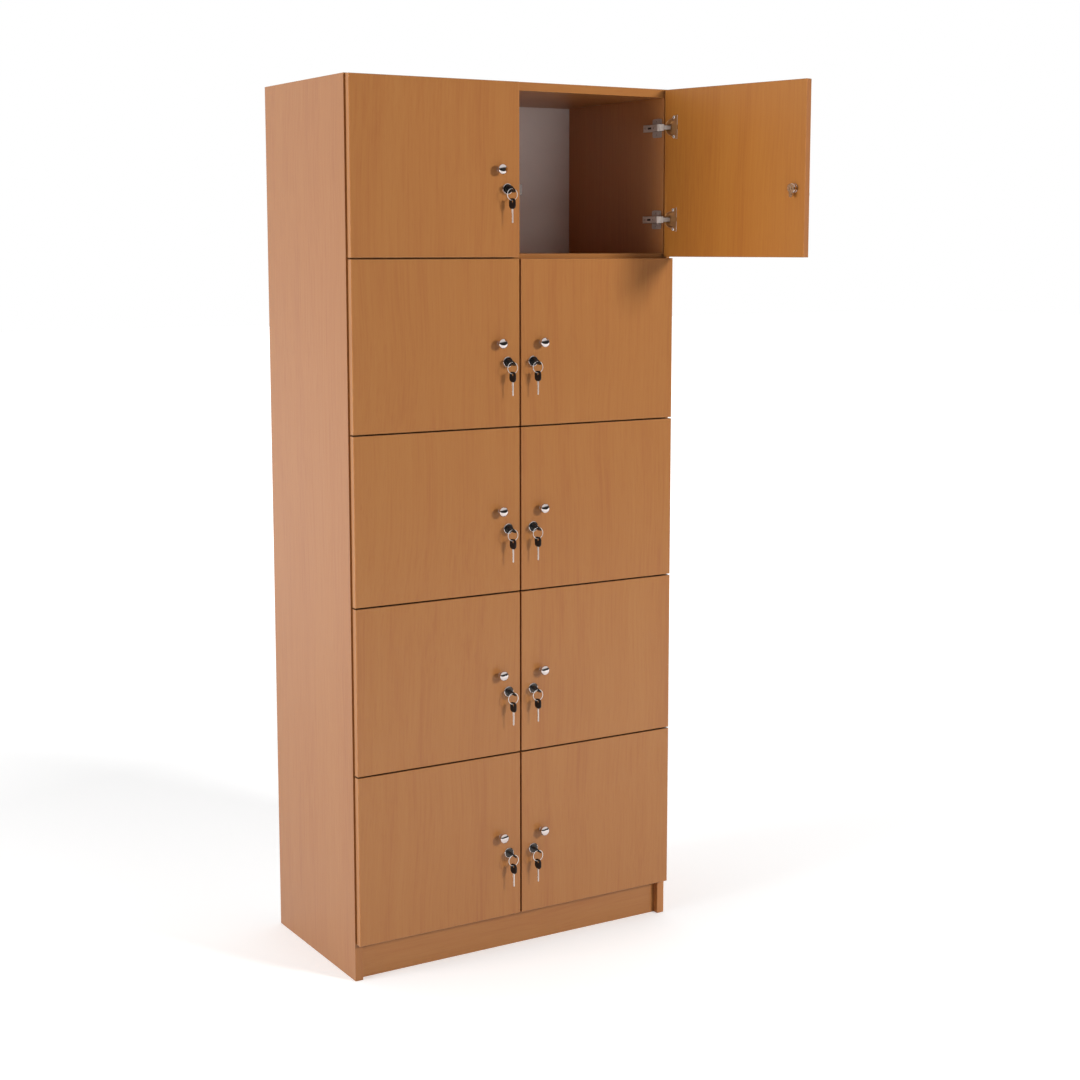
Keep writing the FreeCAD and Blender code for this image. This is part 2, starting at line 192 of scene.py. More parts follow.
paint_lit = new_node(paint, "AddShader", {0: paint_diffuse.outputs[0], 1: paint_glow.outputs[0]})
paint_split = new_node(paint, "SeparateXYZ", {0: paint_place})
paint_depth = new_node(paint, "MapRange", {"Value": paint_split.outputs["Y"], "From Min": dark_floor_from,
                                           "From Max": dark_floor_to})
paint_dark = new_node(paint, "Math", {0: paint_depth.outputs[0], 1: paint_mirrored}, operation="MULTIPLY")
paint_unlit = new_node(paint, "BsdfDiffuse", {"Color": dark_floor_colour})
paint_mix = new_node(paint, "MixShader", {0: paint_dark.outputs[0], 1: paint_lit.outputs[0],
                                          2: paint_unlit.outputs[0]})
new_node(paint, "OutputMaterial", {0: paint_mix.outputs[0]})
floor_data.materials.append(floor_paint)

# Carcass: sides, partition, top, bottom, shelves and plinth are sawn from chipboard faced with a melamine foil
# printed as steamed beech. Upright boards have the grain upright and level boards have it across.
foil_dark = (0.312, 0.114, 0.033)
foil_mid = (0.346, 0.137, 0.038)
foil_light = (0.362, 0.152, 0.043)
foil_gloss = 0.36
foil_gloss_spread = 0.05
grain_bend = 0.05
grain_bend_scale = 2.2
streak_share = 0.6
pore_start = 0.60
pore_full = 0.72
pore_shade = 0.45
pore_relief = 0.12
pore_depth = 0.0002
edging_shades = (0.85, 1.15)
edging_roughness = 0.5
edging_thickness = 0.0008
carcass_rounding = 0.0005
arris_angle = math.radians(30)
weld_distance = 0.00001
sheet_step = (0.37, 0.53, 0.29)
plain_tint = (1.0, 1.0, 1.0)
# side_right is painted lighter, as painted light for the dim inside of the open compartment; side_left is
# tinted slightly darker.
sheet_tones_and_painted_light = {"side_left": (0.93, 0.91, 0.93), "side_right": (1.15, 1.1, 1.1)}
upright_boards = ["side_left", "side_right", "partition", "plinth_centre_rail"]
level_boards = ["top_panel", "bottom_panel", "plinth_front", "plinth_rear"]
level_boards += [name for name in nodes if name.startswith("shelf_")]


def new_material(name):
    """A material, its node tree, its shader and the place on the piece, which its patterns read."""
    material = bpy.data.materials.new(name)
    material.use_nodes = True
    tree = material.node_tree
    return material, tree, tree.nodes["Principled BSDF"], new_node(tree, "TexCoord").outputs["Object"]


def noise(tree, place, scale, detail, roughness=0.5):
    """The grey value of a noise pattern."""
    pattern = new_node(tree, "TexNoise", {"Vector": place, "Scale": scale, "Detail": detail,
                                          "Roughness": roughness})
    return pattern.outputs["Fac"]


def times(colour, factors):
    """A colour with each channel multiplied by its own factor."""
    return tuple(channel * factor for channel, factor in zip(colour, factors)) + (1,)


def beech_foil(name, upright, start, tint=plain_tint, door_edging_and_painted_light=()):
    """The printed foil: broad bands, finer streaks and short dark pores, all drawn out along the grain."""
    dark, mid, light = [times(tone, tint) for tone in (foil_dark, foil_mid, foil_light)]
    material, tree, surface, place = new_material(name)
    shift = new_node(tree, "Mapping", {0: place, "Location": start}).outputs[0]
    drift = new_node(tree, "TexNoise", {"Vector": shift, "Scale": grain_bend_scale, "Detail": 1.0})
    bend_limits = (grain_bend, grain_bend, 0.0) if upright else (0.0, grain_bend, grain_bend)
    bend = new_node(tree, "VectorMath", {0: drift.outputs["Color"], 1: bend_limits, 2: shift},
                    operation="MULTIPLY_ADD")

    def drawn_out(across, along, detail, roughness):
        """Noise that is fine across the grain and long along it."""
        scales = (across, across, along) if upright else (along, across, across)
        stretch = new_node(tree, "Mapping", {0: bend.outputs[0], "Scale": scales})
        return noise(tree, stretch.outputs[0], 1.0, detail, roughness)

    bands = drawn_out(across=26.0, along=0.8, detail=2.0, roughness=0.5)
    streaks = drawn_out(across=210.0, along=4.0, detail=3.0, roughness=0.6)
    pores = drawn_out(across=620.0, along=26.0, detail=1.0, roughness=0.4)
    figure = new_node(tree, "Mix", {0: streak_share, 2: bands, 3: streaks})
    tones = ramp(tree, figure.outputs[0], [(0.30, dark), (0.66, light), (0.47, mid)])
    specks = new_node(tree, "MapRange", {"Value": pores, "From Min": pore_start, "From Max": pore_full,
                                         "To Max": pore_shade})
    shown = new_node(tree, "Mix", {0: specks.outputs[0], 6: tones, 7: dark}, data_type="RGBA").outputs[2]
    # On doors, masks by position paint the inner face lighter as painted light and the edge strips darker as
    # painted shade.
    for way, colour, direction, limit in door_edging_and_painted_light:
        reach = new_node(tree, "VectorMath", {0: place, 1: direction}, operation="DOT_PRODUCT")
        skin = new_node(tree, "MapRange", {"Value": reach.outputs["Value"],
                                           "From Min": limit - edging_thickness,
                                           "From Max": limit - edging_thickness / 2})
        shown = new_node(tree, "Mix", {0: skin.outputs[0], 6: shown, 7: colour}, data_type="RGBA",
                         blend_type=way).outputs[2]
    sheen = new_node(tree, "MapRange", {"Value": streaks, "To Min": foil_gloss + foil_gloss_spread,
                                        "To Max": foil_gloss - foil_gloss_spread})
    relief = new_node(tree, "Bump", {"Height": pores, "Strength": pore_relief, "Distance": pore_depth},
                      invert=True)
    feed(surface, {"Base Color": shown, "Roughness": sheen.outputs[0], "Normal": relief.outputs[0]})
    return material


def painted_arris_highlight(name, colour):
    """The arris where the foil meets the edging strip: painted a hair lighter as a painted highlight, and
    duller, with rubbed patches from handling.
    """
    material, tree, surface, place = new_material(name)
    rub = noise(tree, place, scale=55.0, detail=3.0)
    worn, fresh = [times(colour, (shade,) * 3) for shade in edging_shades]
    feed(surface, {"Base Color": ramp(tree, rub, [(0.35, worn), (0.7, fresh)]), "Roughness": edging_roughness})
    return material


def dress_board(node, materials, rounding):
    """A board keeps its own solid: its loose facets are welded, and its arrises get a fine rounding."""
    board = nodes[node]
    board.data.materials.clear()
    for material in materials:
        board.data.materials.append(material)
    weld = board.modifiers.new("weld", "WELD")
    weld.merge_threshold = weld_distance
    arris = board.modifiers.new("arris", "BEVEL")
    arris.width = rounding
    arris.segments = 2
    arris.limit_method = "ANGLE"
    arris.angle_limit = arris_angle
    arris.material = len(materials) - 1


# The carcass arrises are painted a hair lighter than the foil, as a painted highlight.
carcass_arris_highlight = painted_arris_highlight("carcass_arris_highlight", foil_light)
for index, name in enumerate(upright_boards + level_boards):
    foil = beech_foil("foil_" + name, name in upright_boards, [index * step for step in sheet_step],
                      sheet_tones_and_painted_light.get(name, plain_tint))
    dress_board(name, [foil, carcass_arris_highlight], carcass_rounding)

# Back: one sheet of hardboard, painted grey on the inside, let into rebates all round and nailed from behind.
# Its paint is faintly cloudy over the fibres.
back_dark = (0.742, 0.656, 0.622, 1)
back_light = (0.782, 0.696, 0.662, 1)
back_roughness = 0.62
back_paint, back_tree, back_surface, back_place = new_material("back_paint")
back_cloud = noise(back_tree, back_place, scale=9.0, detail=5.0)
back_fibre = noise(back_tree, back_place, scale=700.0, detail=2.0)
back_bump = new_node(back_tree, "Bump", {"Height": back_fibre, "Strength": 0.15, "Distance": 0.0003})
feed(back_surface, {"Base Color": ramp(back_tree, back_cloud, [(0.3, back_dark), (0.7, back_light)]),
                    "Roughness": back_roughness, "Normal": back_bump.outputs[0]})
back_panel = nodes["back_panel"]
back_panel.data.materials.clear()
back_panel.data.materials.append(back_paint)

# Doors: ten boards of the same faced chipboard, with the grain upright and an edging strip all round whose
# front arris is eased and painted lighter, as a painted highlight. The strips on the top and bottom edges are
# painted nearly black, as painted shade in the level gaps, and the strip on the free edge has a dark edging
# colour of its own, darkened further as painted shade for the upright gap. The inner faces are painted lighter
# and warmer, as painted light. Each door is cut from another place in the sheet, so no two have the same
# figure.
# The free edge's strip has a dark edging colour of its own, darkened further as painted shade for the upright
# gap.
edging_and_gap_shade_colour = (0.307, 0.122, 0.042, 1)
# Painted shade: the top and bottom strips are nearly black, for the shade in the level gaps.
level_edge_painted_shade = (0.10, 0.042, 0.018, 1)
# Painted light: the inner faces are multiplied lighter and warmer than the fronts.
inner_face_painted_light = (1.14, 1.06, 0.62, 1)
door_rounding = 0.0003
door_sheet_start = (3.0, 0.0, 0.0)
door_sheet_step = (0.71, 0.43, 0.83)
door_free_edge = 0.002
door_front = -0.218
door_back = -0.202
# The door arris is painted lighter still, as a painted highlight.
door_arris_highlight = painted_arris_highlight("door_arris_highlight", (0.45, 0.185, 0.055))
hinge_pin = Vector((0.3900539, -0.21165, 0.0))
open_door = ("right", 1)
open_angle = math.radians(102.5)
open_turn = (Matrix.Translation(hinge_pin) @ Matrix.Rotation(open_angle, 4, "Z")
             @ Matrix.Translation(-hinge_pin))
outward = {"left": -1, "right": 1}
doors = [(side, row) for side in ("left", "right") for row in range(1, 6)]
door_levels = {}
for index, (side, row) in enumerate(doors):
    corner = Vector((outward[side] * door_free_edge, door_back, 0))
    to_back, to_middle = Vector((0, 1, 0)), Vector((-outward[side], 0, 0))
    if (side, row) == open_door:
        corner = open_turn @ corner
        to_back, to_middle = open_turn.to_3x3() @ to_back, open_turn.to_3x3() @ to_middle
    low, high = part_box(f"door_{side}_{row}")
    door_levels[side, row] = (low[2], high[2])
    door_edging_and_painted_light = [("MULTIPLY", inner_face_painted_light, to_back, to_back.dot(corner)),
                  ("MIX", edging_and_gap_shade_colour, to_middle, to_middle.dot(corner)),
                  ("MIX", level_edge_painted_shade, (0, 0, 1), high[2]),
                  ("MIX", level_edge_painted_shade, (0, 0, -1), -low[2])]
    start = [first + index * step for first, step in zip(door_sheet_start, door_sheet_step)]
    foil = beech_foil(f"foil_door_{side}_{row}", True, start, door_edging_and_painted_light=door_edging_and_painted_light)
    dress_board(f"door_{side}_{row}", [foil, door_arris_highlight], door_rounding)

# Knobs: solid brass mushrooms, turned, polished and chromed, each held by one screw from behind the door.
# Profiles here and below give radius and distance from the door's front, in millimetres.
knob_backset = 0.050
knob_profile = [(0.0, 0.0), (5.6, 0.0), (5.6, 1.0), (4.4, 2.6), (4.0, 6.0), (4.4, 9.0), (8.2, 11.8),
                (10.9, 14.4), (11.3, 16.6), (10.4, 19.2), (7.2, 21.5), (3.4, 22.5), (0.0, 22.6)]
knob_turns = 20
cloud_shade = 0.88
seam_distance = 0.000001
mm = 0.001


def polished(name, colour, roughness, smear=0.03, metallic=1.0):
    """Plated metal: nearly one colour, with faint cloudy handling marks in its polish."""
    material, tree, surface, place = new_material(name)
    cloud = noise(tree, place, scale=90.0, detail=4.0)
    spread = new_node(tree, "MapRange", {"Value": cloud, "To Min": roughness, "To Max": roughness + smear * 2})
    feed(surface, {"Metallic": metallic, "Roughness": spread.outputs[0],
                   "Base Color": ramp(tree, cloud, [(0.3, times(colour, (cloud_shade,) * 3)),
                                                    (0.7, colour + (1,))])})
    return material


def metres(lengths):
    """Lengths in millimetres as lengths in metres."""
    return [length * mm for length in lengths]


def move(mesh, way):
    """Moves a whole shape by a distance in metres."""
    bmesh.ops.translate(mesh, vec=way, verts=mesh.verts)


def turn(mesh, angle, axis):
    """Turns a shape about an axis through the origin, by an angle in radians."""
    bmesh.ops.rotate(mesh, matrix=Matrix.Rotation(angle, 3, axis), verts=mesh.verts)


def lathed(profile, steps, closed=False):
    """A lathe-turned shape on an axis along -Y. A closed profile runs round a hole."""
    mesh = bmesh.new()
    line = [mesh.verts.new((radius * mm, -along * mm, 0.0)) for radius, along in profile]
    edges = [mesh.edges.new(pair) for pair in zip(line, line[1:])]
    if closed:
        edges.append(mesh.edges.new((line[-1], line[0])))
    bmesh.ops.spin(mesh, geom=line + edges, cent=(0, 0, 0), axis=(0, 1, 0), dvec=(0, 0, 0), angle=2 * math.pi,
                   steps=steps, use_merge=True, use_duplicate=False)
    bmesh.ops.remove_doubles(mesh, verts=mesh.verts, dist=seam_distance)
    bmesh.ops.recalc_face_normals(mesh, faces=mesh.faces)
    return mesh


def joined(meshes):
    """Several shapes as one mesh."""
    whole = bmesh.new()
    for mesh in meshes:
        data = bpy.data.meshes.new("part")
        mesh.to_mesh(data)
        mesh.free()
        whole.from_mesh(data)
        bpy.data.meshes.remove(data)
    return whole


def to_column(mesh, side):
    """Mirrors a shape made for the right-hand column where it belongs to the left-hand one."""
    if side == "left":
        bmesh.ops.scale(mesh, vec=(-1, 1, 1), verts=mesh.verts)
        bmesh.ops.reverse_faces(mesh, faces=mesh.faces)
    return mesh


def swung(mesh, side, row):
    """Swings a shape on the open door out with it."""
    if (side, row) == open_door:
        bmesh.ops.transform(mesh, matrix=open_turn, verts=mesh.verts)
    return mesh


def finish_piece(name, mesh, body, materials, replaced, sharp=20.0, levels=0):
    """Turns a mesh into a piece with the given materials, which rides on its body, and hides the parts it
    replaces.
    """
    data = bpy.data.meshes.new(name)
    mesh.to_mesh(data)
    mesh.free()
    for material in materials:
        data.materials.append(material)
    data.polygons.foreach_set("use_smooth", [True] * len(data.polygons))
    if sharp:
        data.set_sharp_from_angle(angle=math.radians(sharp))
    piece = bpy.data.objects.new(name, data)
    bpy.context.collection.objects.link(piece)
    if levels:
        smooth = piece.modifiers.new("smooth", "SUBSURF")
        smooth.levels = levels
        smooth.render_levels = levels
    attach(piece, body)
    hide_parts(*replaced)


chrome = polished("chrome", (0.66, 0.585, 0.56), 0.05)
for side, row in doors:
    knob = lathed(knob_profile, knob_turns)
    move(knob, (door_free_edge + knob_backset, door_front, sum(door_levels[side, row]) / 2))
    finish_piece(f"knob_{side}_{row}", swung(to_column(knob, side), side, row), f"{side}_{row}_door", [chrome],
                 [f"door_fittings_{side}_{row}"], sharp=0, levels=2)

# Lock barrels: a chromed die-cast cylinder pushed through the door from the front, with a rounded collar
# outside and a plain round end standing clear of the door inside. The collar's flat face is painted dark, as a
# painted dark reflection in its chrome.
lock_from_middle = door_free_edge + 0.0294
lock_below_knob = 0.040
lock_levels = {door: sum(levels) / 2 - lock_below_knob for door, levels in door_levels.items()}
barrel_profile = [(6.1, 1.9), (6.4, 2.2), (10.3, 2.2), (11.2, 1.8), (11.6, 1.1), (11.6, 0.0), (10.0, 0.0),
                  (10.0, -17.2), (9.7, -17.6), (9.7, -18.4), (10.0, -18.8), (10.0, -24.2), (9.2, -25.0),
                  (6.1, -25.0)]
barrel_turns = 40
collar_face = 2.1
chrome_finish, dark_reflection_finish = 0, 1
# A chrome painted dark, as a painted dark reflection, for the collar's face, the plug and the key's blade.
plug_dark_reflection = polished("plug_dark_reflection", (0.075, 0.07, 0.066), 0.26)
for side, row in doors:
    barrel = lathed(barrel_profile, barrel_turns, closed=True)
    for face in barrel.faces:
        in_front = face.calc_center_median().y < -collar_face * mm
        face.material_index = dark_reflection_finish if in_front else chrome_finish
    move(barrel, (lock_from_middle, door_front, lock_levels[side, row]))
    finish_piece(f"lock_barrel_{side}_{row}", swung(to_column(barrel, side), side, row), f"{side}_{row}_door",
                 [chrome, plug_dark_reflection], [f"door_fittings_{side}_{row}"])

# Keys in the locks: a steel blade in a moulded black plastic bow, set at a slant in the plug. Plug, key, cam,
# hub and the cam's screw turn together.
bow_width = 20.0
bow_length = 21.5
bow_thickness = 2.8
bow_squareness = 0.32
bow_narrowing = 0.08
bow_rounding = 0.8
bow_sides = 32
bow_hole_from_end = 6.0
bow_hole_from_door = 20.8
held_hole = 3.9
spare_hole = 2.6
key_slant = math.radians(-45)
plug_profile = [(0.0, 2.8), (5.5, 2.8), (5.95, 2.4), (5.95, -25.3), (0.0, -25.3)]
hub_profile = [(0.0, -25.3), (9.6, -25.3), (9.6, -26.7), (9.0, -27.35), (0.0, -27.35)]
screw_profile = [(0.0, -29.1), (2.0, -29.0), (2.9, -28.4), (3.2, -27.3), (0.0, -27.3)]
plug_turns = 32
cam_screw_turns = 24
cam_reach = 18.4
cam_half = 4.5
cam_front = 25.3
cam_thickness = 2.0
cam_sides = 24
cam_middle = 0.0001
pressed_rounding = 0.25
shank_size = (2.0, 2.7, 7.0)
shank_place = (0.0, -4.05, 0.0)
shank_rounding = 0.2
bow_finish, cam_reflection_finish = 1, 2


def paint_faces(mesh, finish):
    """Gives a whole shape one of its piece's materials, by its place in their list."""
    for face in mesh.faces:
        face.material_index = finish
    return mesh


def thicken(mesh, faces, way):
    """Draws flat faces out into a solid, in a direction and by a length in metres."""
    lifted = bmesh.ops.extrude_face_region(mesh, geom=faces)["geom"]
    bmesh.ops.translate(mesh, vec=way, verts=[item for item in lifted if isinstance(item, bmesh.types.BMVert)])
    bmesh.ops.recalc_face_normals(mesh, faces=mesh.faces)


def bevel(mesh, edges, width, segments=2):
    """Rounds edges by a width in millimetres."""
    bmesh.ops.bevel(mesh, geom=edges, offset=width * mm, segments=segments, profile=0.5, affect="EDGES",
                    material=-1)


def sharp_edges(mesh, degrees=60):
    """The edges at which a shape turns by more than an angle."""
    return [edge for edge in mesh.edges if edge.calc_face_angle(0) > math.radians(degrees)]


def block(size):
    """A square block of a size in millimetres, about the origin."""
    mesh = bmesh.new()
    bmesh.ops.create_cube(mesh, size=1.0)
    bmesh.ops.scale(mesh, vec=metres(size), verts=mesh.verts)
    return mesh


def rounded_box(size, place, rounding, segments=2):
    """A block with rounded edges, its size and place in millimetres."""
    mesh = block(size)
    bevel(mesh, list(mesh.edges), rounding, segments)
    move(mesh, metres(place))
    return mesh


def bow(hole):
    """The key's plastic bow, flat in X, its round hole on the origin and its neck towards +Y."""
    mesh = bmesh.new()
    rim = bmesh.ops.create_circle(mesh, segments=bow_sides, radius=1.0)["verts"]
    eye = bmesh.ops.create_circle(mesh, segments=bow_sides, radius=hole * mm)["verts"]
    middle = bow_length / 2 - bow_hole_from_end
    for corner in rim:
        across, along = corner.co.x, corner.co.y
        squareness = 1 + bow_squareness * abs(across * along)
        narrowing = 1 - bow_narrowing * along ** 2
        corner.co = Vector((across * bow_width / 2 * squareness * narrowing,
                            along * bow_length / 2 * squareness + middle, 0)) * mm
    loops = [edge for loop in (rim, eye) for edge in mesh.edges if all(corner in loop for corner in edge.verts)]
    thicken(mesh, bmesh.ops.bridge_loops(mesh, edges=loops)["faces"], (0, 0, bow_thickness * mm))
    move(mesh, (0, 0, -bow_thickness / 2 * mm))
    bevel(mesh, sharp_edges(mesh), bow_rounding, segments=3)
    bmesh.ops.transform(mesh, matrix=Matrix(((0, 0, 1, 0), (0, 1, 0, 0), (1, 0, 0, 0), (0, 0, 0, 1))),
                        verts=mesh.verts)
    bmesh.ops.recalc_face_normals(mesh, faces=mesh.faces)
    return mesh


def cam_plate(points_up):
    """The cam: a flat bar with round ends, turned up or down behind the door."""
    mesh = bmesh.new()
    bmesh.ops.create_circle(mesh, segments=cam_sides, radius=cam_half * mm, cap_ends=True)
    bmesh.ops.translate(mesh, vec=(0, (cam_reach - cam_half) * mm, 0),
                        verts=[corner for corner in mesh.verts if corner.co.y > cam_middle])
    thicken(mesh, list(mesh.faces), (0, 0, cam_thickness * mm))
    bevel(mesh, sharp_edges(mesh), pressed_rounding)
    if not points_up:
        turn(mesh, math.pi, "Z")
    turn(mesh, math.pi / 2, "X")
    move(mesh, (0, (cam_front + cam_thickness) * mm, 0))
    return mesh


bow_plastic, bow_tree, bow_surface, bow_place = new_material("bow_plastic")
bow_grit = noise(bow_tree, bow_place, scale=1600.0, detail=2.0)
bow_spread = new_node(bow_tree, "MapRange", {"Value": bow_grit, "To Min": 0.32, "To Max": 0.5})
bow_bump = new_node(bow_tree, "Bump", {"Height": bow_grit, "Strength": 0.2, "Distance": 0.0001})
feed(bow_surface, {"Base Color": (0.006, 0.006, 0.007, 1), "Specular IOR Level": 0.3,
                   "Roughness": bow_spread.outputs[0], "Normal": bow_bump.outputs[0]})
# Painted reflection: the cam, its hub and its screw are coloured orange-brown, as the door mirrored in their
# steel.
cam_painted_reflection = polished("cam_painted_reflection", (0.50, 0.34, 0.21), 0.24, metallic=0.9)
for side, row in doors:
    plug = lathed(plug_profile, plug_turns)
    shank = rounded_box(shank_size, shank_place, shank_rounding)
    held_bow = paint_faces(bow(held_hole), bow_finish)
    move(held_bow, (0, -bow_hole_from_door * mm, 0))
    for slanted in (shank, held_bow):
        turn(slanted, key_slant, "Y")
    cam = joined([cam_plate(side == "left"), lathed(hub_profile, plug_turns),
                  lathed(screw_profile, cam_screw_turns)])
    key = joined([plug, shank, held_bow, paint_faces(cam, cam_reflection_finish)])
    move(key, (lock_from_middle * outward[side], door_front, lock_levels[side, row]))
    finish_piece(f"key_{side}_{row}", swung(key, side, row), f"{side}_{row}_key",
                 [plug_dark_reflection, bow_plastic, cam_painted_reflection], [f"lock_key_{side}_{row}"])

# Key rings and spare keys: a flattened steel wire wound twice hangs in the bow of the key in the lock, and the
# second key, cut like the first, hangs on it by its own bow.
ring_radius = 12.2
ring_section = [(-0.6, -0.38), (-0.48, -0.5), (0.48, -0.5), (0.6, -0.38), (0.6, -0.1), (0.5, 0.0), (0.6, 0.1),
                (0.6, 0.38), (0.48, 0.5), (-0.48, 0.5), (-0.6, 0.38), (-0.6, 0.1), (-0.5, 0.0), (-0.6, -0.1)]
ring_turns = 48
ring_drop = 11.9
spare_drop = 26.2
spare_turn = math.radians(9)
blade_cuts = [(-2.3, 0.0), (-2.3, 29.2), (-1.6, 30.6), (0.2, 30.6), (1.8, 28.8), (1.5, 26.4), (0.7, 25.0),
              (1.3, 22.8), (2.0, 21.5), (1.5, 19.4), (0.5, 17.8), (1.2, 15.6), (1.8, 14.2), (1.0, 12.3),
              (1.6, 10.0), (2.3, 8.6), (2.3, 0.0)]
blade_thickness = 1.5
blade_rounding = 0.2
blade_sharpness = 75
blade_in_bow = 1.0
key_steel = polished("key_steel", (0.80, 0.785, 0.77), 0.3, smear=0.05, metallic=0.5)
for side, row in doors:
    ring = lathed([(ring_radius + out, along) for out, along in ring_section], ring_turns, closed=True)
    move(ring, (0, 0, -ring_drop * mm))
    spare = paint_faces(bow(spare_hole), bow_finish)
    turn(spare, -math.pi / 2, "X")
    move(spare, (0, 0, -spare_drop * mm))
    blade = bmesh.new()
    neck = spare_drop + bow_length - bow_hole_from_end - blade_in_bow
    outline = [blade.verts.new((-blade_thickness / 2 * mm, across * mm, -(neck + along) * mm))
               for across, along in blade_cuts]
    thicken(blade, [blade.faces.new(outline)], (blade_thickness * mm, 0, 0))
    bevel(blade, sharp_edges(blade, blade_sharpness), blade_rounding, segments=1)
    for hung in (spare, blade):
        turn(hung, spare_turn, "Z")
    hanging = joined([ring, spare, blade])
    move(hanging, (lock_from_middle * outward[side], door_front - bow_hole_from_door * mm,
                   lock_levels[side, row]))
    finish_piece(f"spare_key_{side}_{row}", swung(hanging, side, row), f"{side}_{row}_ring",
                 [key_steel, bow_plastic], [f"key_ring_{side}_{row}"])

# Hinge cups: pressed and plated steel cups, knocked into round bores in the door's back and held by two screws
# through the ears of the flange. The pin on which the door swings crosses the cup.
hinge_end_distance = 0.082
hinge_levels = {door: {"top": high - hinge_end_distance, "bottom": low + hinge_end_distance}
                for door, (low, high) in door_levels.items()}
cup_centre = 0.3765
cup_profile = [(0.0, 13.0), (16.4, 13.0), (17.4, 12.0), (17.4, -0.4), (18.4, -0.4), (18.6, -0.7), (18.4, -1.2),
               (17.2, -1.2), (16.7, -0.9), (16.6, 11.4), (15.8, 12.2), (0.0, 12.2)]
cup_turns = 40
flange_far = 17.8
flange_shoulder = 5.8
flange_half = 26.0
flange_half_shoulder = 23.5
flange_mouth = 17.0
flange_mouth_steps = 10
flange_meets_mouth = math.radians(82.1)
flange_thickness = 1.2
flange_screw = (-7.6, 1.2, 21.2)
flat_enough = 0.95
pin_radius = 1.2
pin_length = 17
pin_sides = 16
head_profile = [(0.0, 0.75), (1.6, 0.7), (2.8, 0.35), (3.4, 0.0), (0.0, 0.0)]
head_turns = 16
recess_size = (3.2, 0.1, 0.7)
recess_place = (0, -0.72, 0)
recess_rounding = 0.02
slot_shade_finish, painted_highlight_finish = 1, 2


def cross_screw(place, degrees, finish=0):
    """The round head of a cross-slotted screw, which looks along -Y before it is turned about Z. The cross is
    not cut in: two thin plates on the head are painted black as painted shade in the recess.
    """
    slots = [paint_faces(rounded_box(size, recess_place, recess_rounding, segments=1), slot_shade_finish)
             for size in (recess_size, recess_size[::-1])]
    head = joined([paint_faces(lathed(head_profile, head_turns), finish)] + slots)
    turn(head, math.radians(degrees), "Z")
    move(head, metres(place))
    return head


def round_pin(radius, length, sides, place):
    """An upright round pin, its radius and length in millimetres and its place in metres."""
    mesh = bmesh.new()
    bmesh.ops.create_cone(mesh, cap_ends=True, segments=sides, radius1=radius * mm, radius2=radius * mm,
                          depth=length * mm)
    move(mesh, place)
    return mesh


def flange_half_plate(up):
    """One half of the flange: a wing that widens away from the pin, with the cup's mouth cut out of it."""
    mesh = bmesh.new()
    arc = [flange_meets_mouth + (math.pi - flange_meets_mouth) * step / flange_mouth_steps
           for step in range(flange_mouth_steps + 1)]
    outline = [(-flange_far, 0.0), (-flange_far, flange_half), (-flange_shoulder, flange_half_shoulder)]
    outline += [(flange_mouth * math.cos(angle), flange_mouth * math.sin(angle)) for angle in arc]
    face = mesh.faces.new([mesh.verts.new((across * mm, 0, up * high * mm)) for across, high in outline])
    thicken(mesh, [face], (0, flange_thickness * mm, 0))
    bevel(mesh, sharp_edges(mesh), pressed_rounding)
    # The flange's rims are painted pale, as a painted highlight outline.
    for face in mesh.faces:
        if abs(face.normal.y) <= flat_enough:
            face.material_index = painted_highlight_finish
    return mesh


# Painted reflection: the cups and flanges are coloured orange, as the door mirrored in their plating.
cup_painted_reflection = polished("cup_painted_reflection", (0.58, 0.34, 0.16), 0.3, smear=0.05, metallic=0.75)
# Painted highlight: the flange rims and the cup screws' heads are coloured pale.
rim_painted_highlight = polished("rim_painted_highlight", (0.86, 0.80, 0.76), 0.25, smear=0.05, metallic=0.6)
# Painted shade: screw crosses and the arm's slot are thin black plates standing in for the shade in their
# recesses.
slot_painted_shade = polished("slot_painted_shade", (0.06, 0.055, 0.05), 0.5)
for side, row in doors:
    for end, level in hinge_levels[side, row].items():
        parts = [lathed(cup_profile, cup_turns)]
        for up in (1, -1):
            across, along, high = flange_screw
            parts.append(flange_half_plate(up))
            parts.append(cross_screw((across, along, high * up), 180, painted_highlight_finish))
        fitted = joined(parts)
        move(fitted, (cup_centre, door_back, level))
        pin = round_pin(pin_radius, pin_length, pin_sides, (hinge_pin.x, hinge_pin.y, level))
        cup_set = swung(to_column(joined([fitted, pin]), side), side, row)
        finish_piece(f"hinge_cup_{side}_{row}_{end}", cup_set, f"{side}_{row}_door",
                     [cup_painted_reflection, slot_painted_shade, rim_painted_highlight], [f"door_fittings_{side}_{row}"])

# Hinge arms: folded steel channels clipped over the plates, each with a bright cranked link whose eye turns on
# the cup's pin, a slot for setting the reach, drawn as a thin black plate of painted shade, and two
# cross-slotted screws.
channel_parts = [((1.4, 59.0, 16.0), (368.2, -169.5, 0.0)), ((6.0, 56.0, 1.4), (370.5, -169.5, 7.3)),
                 ((6.0, 56.0, 1.4), (370.5, -169.5, -7.3))]
link_parts = [((2.2, 15.5, 14.0), (372.4, -205.9, 0.0)), ((18.0, 1.5, 9.0), (380.6, -212.95, 0.0)),
              ((7.6, 5.0, 14.6), (369.2, -199.5, 0.0))]
arm_rounding = 0.5
eye_radius = 2.05
eye_height = 9.0
eye_sides = 20
arm_screws = [(367.5, -148.0, 0.0), (367.5, -181.0, 0.0)]
arm_slot_size = (0.2, 13.0, 4.4)
arm_slot_place = (367.45, -165.0, 0.0)
arm_slot_rounding = 0.05
link_finish = 2
nickel = polished("nickel", (0.58, 0.51, 0.47), 0.25, smear=0.05, metallic=0.8)
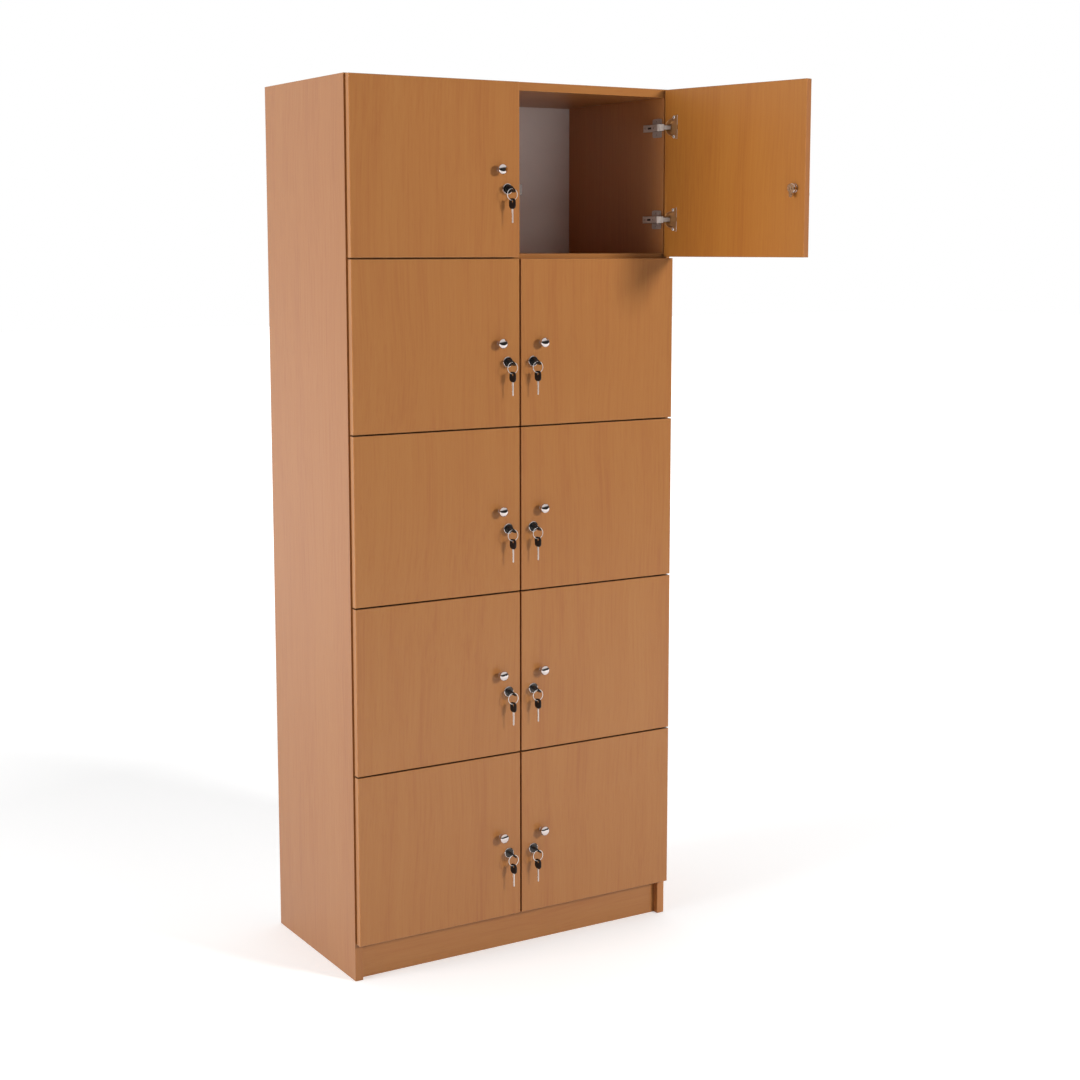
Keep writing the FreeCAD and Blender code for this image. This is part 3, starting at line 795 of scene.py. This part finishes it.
link_steel = polished("link_steel", (0.84, 0.77, 0.72), 0.35, smear=0.05, metallic=0.35)
arm_shapes = []
for side, row in doors:
    for level in hinge_levels[side, row].values():
        parts = [rounded_box(size, place, arm_rounding) for size, place in channel_parts]
        parts += [paint_faces(rounded_box(size, place, arm_rounding), link_finish)
                  for size, place in link_parts]
        parts += [cross_screw(place, -90) for place in arm_screws]
        parts.append(paint_faces(rounded_box(arm_slot_size, arm_slot_place, arm_slot_rounding), slot_shade_finish))
        parts.append(paint_faces(round_pin(eye_radius, eye_height, eye_sides, hinge_pin), link_finish))
        arm = joined(parts)
        move(arm, (0, 0, level))
        arm_shapes.append(to_column(arm, side))
finish_piece("hinge_arm_set", joined(arm_shapes), "cabinet", [nickel, slot_painted_shade, link_steel],
             ["hinge_arms"])

# Hinge plates: winged plates of die-cast zinc, each screwed to the side's inner face through its two wings,
# with a rib along the middle that carries the arm.
wing_size = (2.5, 35.0, 41.0)
wing_place = (380.75, -176.5, 0.0)
wing_corner = 4.0
zinc_rounding = 0.6
rib_size = (8.4, 46.0, 12.0)
rib_place = (377.8, -169.0, 0.0)
boss_size = (1.0, 17.0, 12.5)
boss_behind_screw = 0.4
boss_rounding = 0.4
plate_screws = [(379.0, -176.5, 14.6), (379.0, -176.5, -14.6)]
zinc = polished("zinc", (0.50, 0.44, 0.41), 0.34, smear=0.05, metallic=0.72)
plate_shapes = []
for side, row in doors:
    for level in hinge_levels[side, row].values():
        wings = block(wing_size)
        corners = [edge for edge in wings.edges if abs(edge.verts[0].co.x - edge.verts[1].co.x) > mm]
        bevel(wings, corners, wing_corner, segments=4)
        bevel(wings, sharp_edges(wings), zinc_rounding)
        move(wings, metres(wing_place))
        parts = [wings, rounded_box(rib_size, rib_place, zinc_rounding)]
        for across, along, high in plate_screws:
            parts.append(rounded_box(boss_size, (across + boss_behind_screw, along, high), boss_rounding))
            parts.append(cross_screw((across, along, high), -90))
        plate = joined(parts)
        move(plate, (0, 0, level))
        plate_shapes.append(to_column(plate, side))
finish_piece("hinge_plate_set", joined(plate_shapes), "cabinet", [zinc, slot_painted_shade],
             ["hinge_plates"])

# Lock catches: small folded steel angles, painted dark in the tone of the shaded back, as painted shade, each
# held to the partition by two screws. Each cam turns behind the short leg of its catch.
catch_legs = [((1.5, 20.0, 22.0), (9.75, -184.9, 0.0)), ((9.0, 1.5, 22.0), (13.5, -194.15, 0.0))]
catch_rounding = 0.35
catch_screws = [(10.5, -181.0, 5.5), (10.5, -181.0, -5.5)]
catch_shade_tone = polished("catch_shade_tone", (0.16, 0.14, 0.13), 0.6, metallic=0.0)
catch_shapes = []
for side, row in doors:
    parts = [rounded_box(size, place, catch_rounding) for size, place in catch_legs]
    catch = joined(parts + [cross_screw(place, 90) for place in catch_screws])
    move(catch, (0, 0, lock_levels[side, row]))
    catch_shapes.append(to_column(catch, side))
finish_piece("lock_catch_set", joined(catch_shapes), "cabinet", [catch_shade_tone, slot_painted_shade],
             ["lock_catches"])
